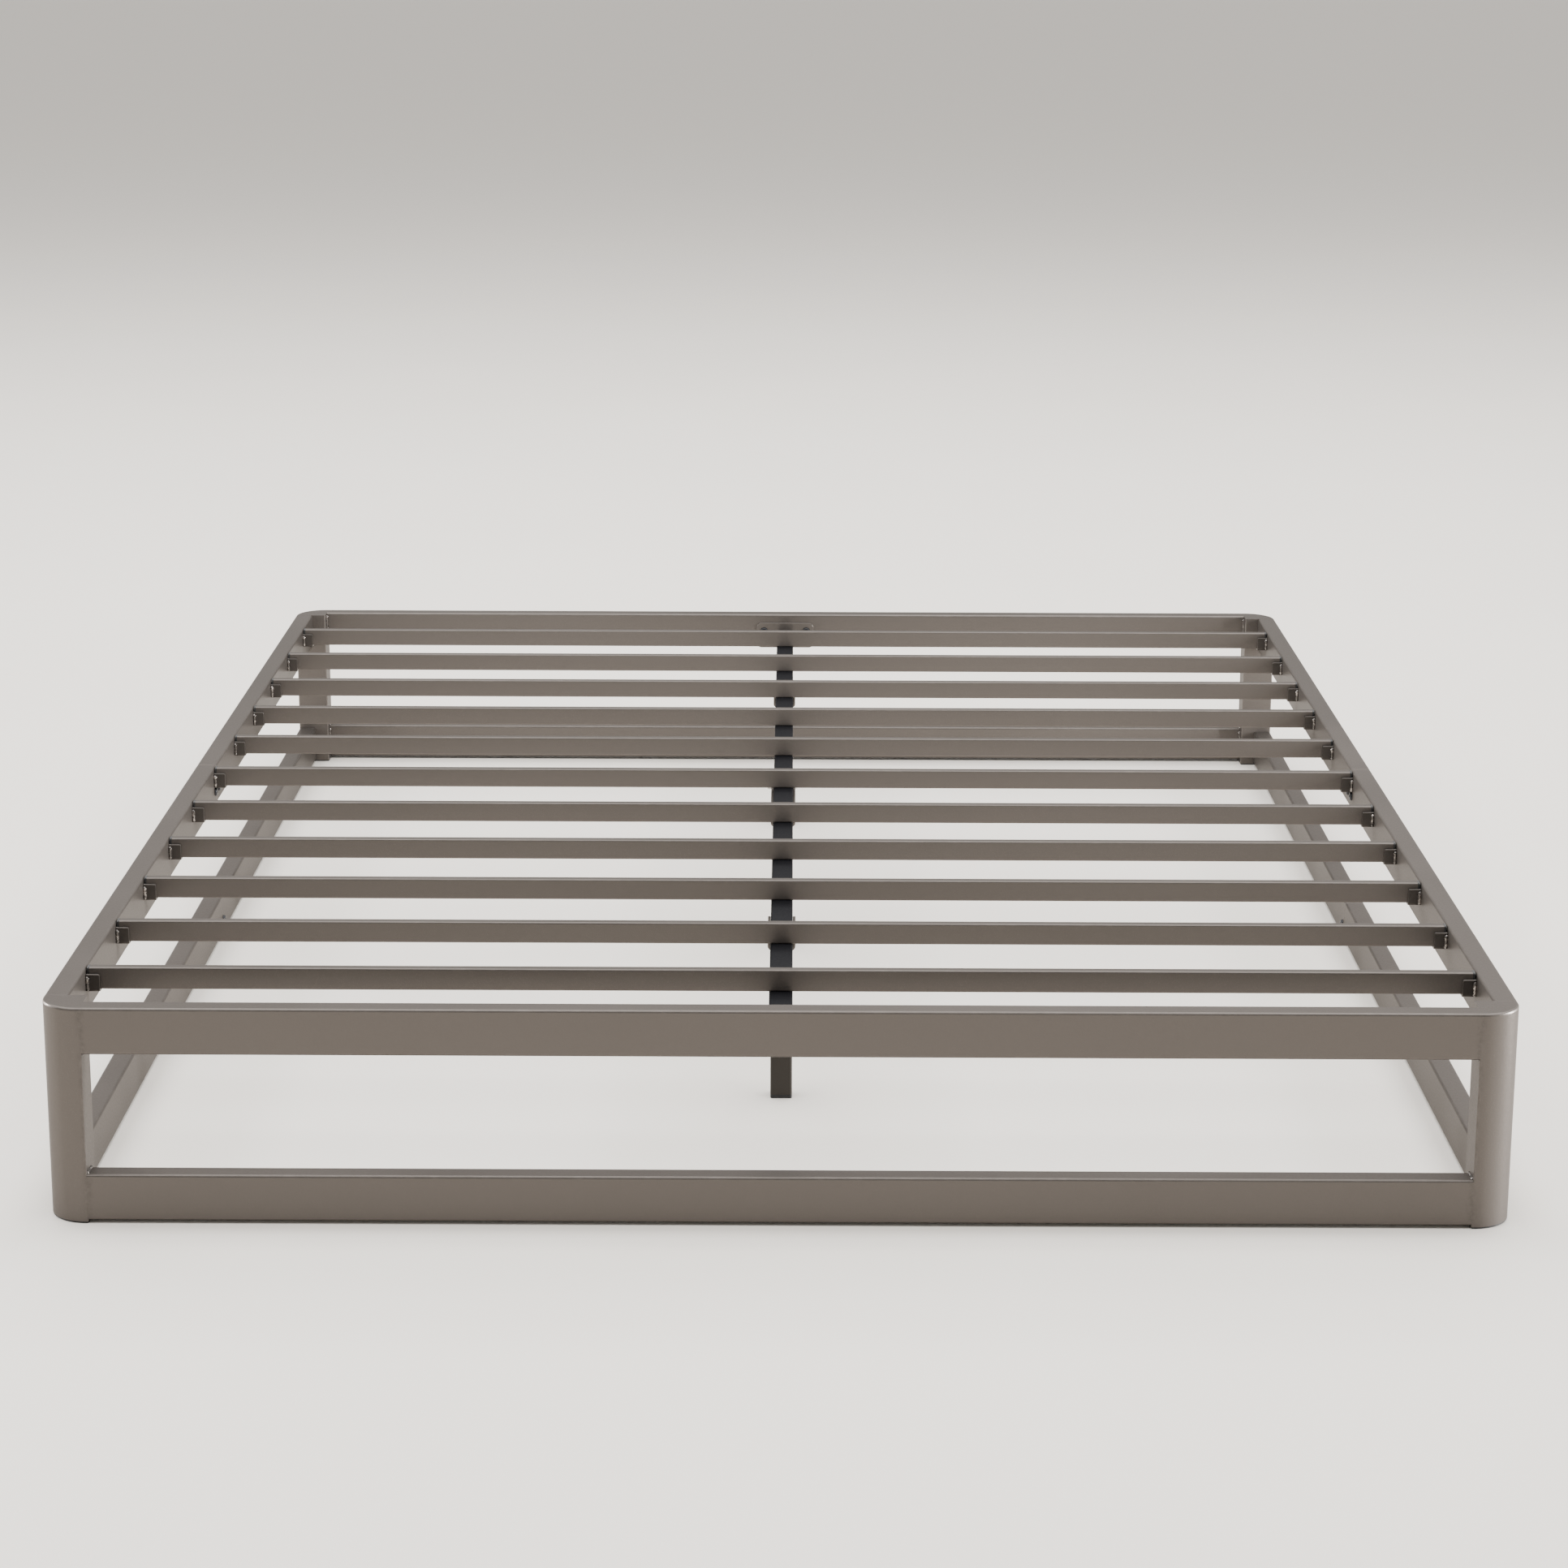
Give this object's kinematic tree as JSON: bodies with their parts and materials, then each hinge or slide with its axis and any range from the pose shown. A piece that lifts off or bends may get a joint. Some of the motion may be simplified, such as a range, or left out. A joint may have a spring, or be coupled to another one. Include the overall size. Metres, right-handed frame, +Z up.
{
  "type": "metal bed frame",
  "caption": "Low platform bed frame in painted steel tube: rounded corner posts, upper and lower rails, a centre beam on legs and loose cross slats that rest in open cradles.",
  "frame": {"origin": "on the floor, at the middle of the frame's footprint", "axes": "+Z up, +Y along the bed towards the head end, X across the bed with the left side at -X as seen from the foot"},
  "size_m": [1.524, 2.032, 0.234],
  "materials": {
    "taupe_paint": "satin, fine metallic powder coat",
    "black_paint": "satin black powder coat",
    "leg_paint": "satin dark grey-brown powder coat",
    "black_plastic": "matte moulded black",
    "zinc_steel": "bright zinc plate",
    "black_steel": "blackened steel"
  },
  "bodies": {
    "frame": {"beam_end_plates": "taupe_paint", "foot_top_rail": "taupe_paint", "foot_bottom_rail": "taupe_paint", "head_top_rail": "taupe_paint", "head_bottom_rail": "taupe_paint", "foot_left_post": "taupe_paint", "foot_right_post": "taupe_paint", "head_left_post": "taupe_paint", "head_right_post": "taupe_paint", "post_caps": "taupe_paint", "left_upper_rail_foot_half": "taupe_paint", "left_upper_rail_head_half": "taupe_paint", "left_lower_rail_foot_half": "taupe_paint", "left_lower_rail_head_half": "taupe_paint", "right_upper_rail_foot_half": "taupe_paint", "right_upper_rail_head_half": "taupe_paint", "right_lower_rail_foot_half": "taupe_paint", "right_lower_rail_head_half": "taupe_paint", "upper_rail_stubs": "taupe_paint", "lower_rail_stubs": "taupe_paint", "left_cradles_foot_half": "taupe_paint", "left_cradles_head_half": "taupe_paint", "right_cradles_foot_half": "taupe_paint", "right_cradles_head_half": "taupe_paint", "beam_splice": "taupe_paint", "leg_saddles": "taupe_paint", "centre_beam_foot_half": "black_paint", "centre_beam_head_half": "black_paint", "foot_centre_leg": "leg_paint", "middle_centre_leg": "leg_paint", "head_centre_leg": "leg_paint", "post_glides": "black_plastic", "leg_feet": "black_plastic", "upper_rail_sleeves": "zinc_steel", "lower_rail_sleeves": "zinc_steel", "beam_bolts_and_nuts": "zinc_steel", "plate_bolts": "black_steel", "rail_bolts": "black_steel"},
    "slat_01": {"slat_01": "taupe_paint", "slat_01_end_caps": "black_plastic"},
    "slat_02": {"slat_02": "taupe_paint", "slat_02_end_caps": "black_plastic"},
    "slat_03": {"slat_03": "taupe_paint", "slat_03_end_caps": "black_plastic"},
    "slat_04": {"slat_04": "taupe_paint", "slat_04_end_caps": "black_plastic"},
    "slat_05": {"slat_05": "taupe_paint", "slat_05_end_caps": "black_plastic"},
    "slat_06": {"slat_06": "taupe_paint", "slat_06_end_caps": "black_plastic"},
    "slat_07": {"slat_07": "taupe_paint", "slat_07_end_caps": "black_plastic"},
    "slat_08": {"slat_08": "taupe_paint", "slat_08_end_caps": "black_plastic"},
    "slat_09": {"slat_09": "taupe_paint", "slat_09_end_caps": "black_plastic"},
    "slat_10": {"slat_10": "taupe_paint", "slat_10_end_caps": "black_plastic"},
    "slat_11": {"slat_11": "taupe_paint", "slat_11_end_caps": "black_plastic"}
  },
  "joints": [
    {"name": "slat_01_lift", "type": "slide", "parent": "frame", "child": "slat_01", "axis": [0, 0, 1], "range_m": [0, 0.03]},
    {"name": "slat_02_lift", "type": "slide", "parent": "frame", "child": "slat_02", "axis": [0, 0, 1], "range_m": [0, 0.03]},
    {"name": "slat_03_lift", "type": "slide", "parent": "frame", "child": "slat_03", "axis": [0, 0, 1], "range_m": [0, 0.03]},
    {"name": "slat_04_lift", "type": "slide", "parent": "frame", "child": "slat_04", "axis": [0, 0, 1], "range_m": [0, 0.03]},
    {"name": "slat_05_lift", "type": "slide", "parent": "frame", "child": "slat_05", "axis": [0, 0, 1], "range_m": [0, 0.03]},
    {"name": "slat_06_lift", "type": "slide", "parent": "frame", "child": "slat_06", "axis": [0, 0, 1], "range_m": [0, 0.03]},
    {"name": "slat_07_lift", "type": "slide", "parent": "frame", "child": "slat_07", "axis": [0, 0, 1], "range_m": [0, 0.03]},
    {"name": "slat_08_lift", "type": "slide", "parent": "frame", "child": "slat_08", "axis": [0, 0, 1], "range_m": [0, 0.03]},
    {"name": "slat_09_lift", "type": "slide", "parent": "frame", "child": "slat_09", "axis": [0, 0, 1], "range_m": [0, 0.03]},
    {"name": "slat_10_lift", "type": "slide", "parent": "frame", "child": "slat_10", "axis": [0, 0, 1], "range_m": [0, 0.03]},
    {"name": "slat_11_lift", "type": "slide", "parent": "frame", "child": "slat_11", "axis": [0, 0, 1], "range_m": [0, 0.03]}
  ]
}
